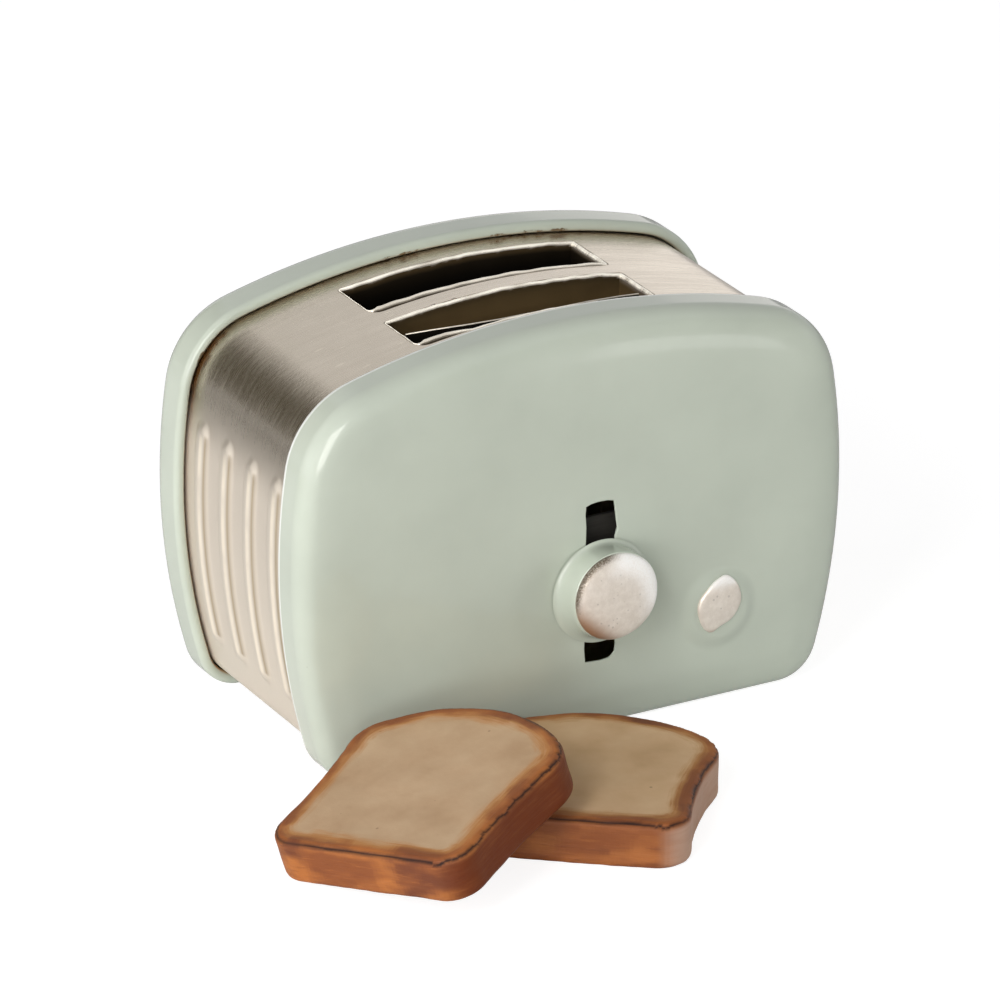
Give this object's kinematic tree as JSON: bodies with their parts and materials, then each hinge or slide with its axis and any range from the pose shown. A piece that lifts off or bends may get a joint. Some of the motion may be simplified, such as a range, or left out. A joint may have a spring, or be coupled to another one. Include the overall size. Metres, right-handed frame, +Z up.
{
  "type": "toy toaster",
  "caption": "Dollhouse-size sheet-metal toy toaster with bread slots, a sliding lever that raises a bread shelf, and loose slices of toy toast.",
  "frame": {"origin": "middle of the footprint that the two covers stand on", "axes": "+X along the toaster's long side, to the right when facing the lever; -Y out of the lever face; +Z up"},
  "size_m": [0.0644, 0.0587, 0.0395],
  "materials": {
    "mint_enamel": "gloss",
    "mint_enamel_knob": "gloss",
    "brushed_nickel": "brushed",
    "plain_tin": "satin",
    "tin_rivet": "satin",
    "spring_steel": "satin",
    "dark_tin": "dull",
    "champagne_metal": "metallic",
    "painted_toast": "matt"
  },
  "bodies": {
    "housing": {"front_cover": "mint_enamel", "rear_cover": "mint_enamel", "cover_studs": "tin_rivet", "push_nuts": "spring_steel", "dial_spot": "champagne_metal", "body_band": "brushed_nickel", "base_plate": "plain_tin", "base_rivets": "tin_rivet", "front_bread_well": "dark_tin", "rear_bread_well": "dark_tin", "carriage_guide": "dark_tin", "guide_rivets": "tin_rivet"},
    "lever": {"lever_knob": "mint_enamel_knob", "knob_cap": "champagne_metal", "lever_pin": "tin_rivet", "spring_washer": "spring_steel", "carriage_plate": "plain_tin", "bread_shelf": "plain_tin", "shelf_rivets": "tin_rivet"},
    "lower_slice": {"lower_toast": "painted_toast"},
    "upper_slice": {"upper_toast": "painted_toast"}
  },
  "joints": [
    {"name": "lever_slide", "type": "slide", "parent": "housing", "child": "lever", "axis": [0, 0, 1], "range_m": [-0.0057, 0.0065]},
    {"name": "lower_toast_lift", "type": "slide", "parent": "housing", "child": "lower_slice", "axis": [0, 0, 1], "range_m": [0, 0.03]},
    {"name": "upper_toast_lift", "type": "slide", "parent": "lower_slice", "child": "upper_slice", "axis": [0, 0, 1], "range_m": [0, 0.03]}
  ]
}
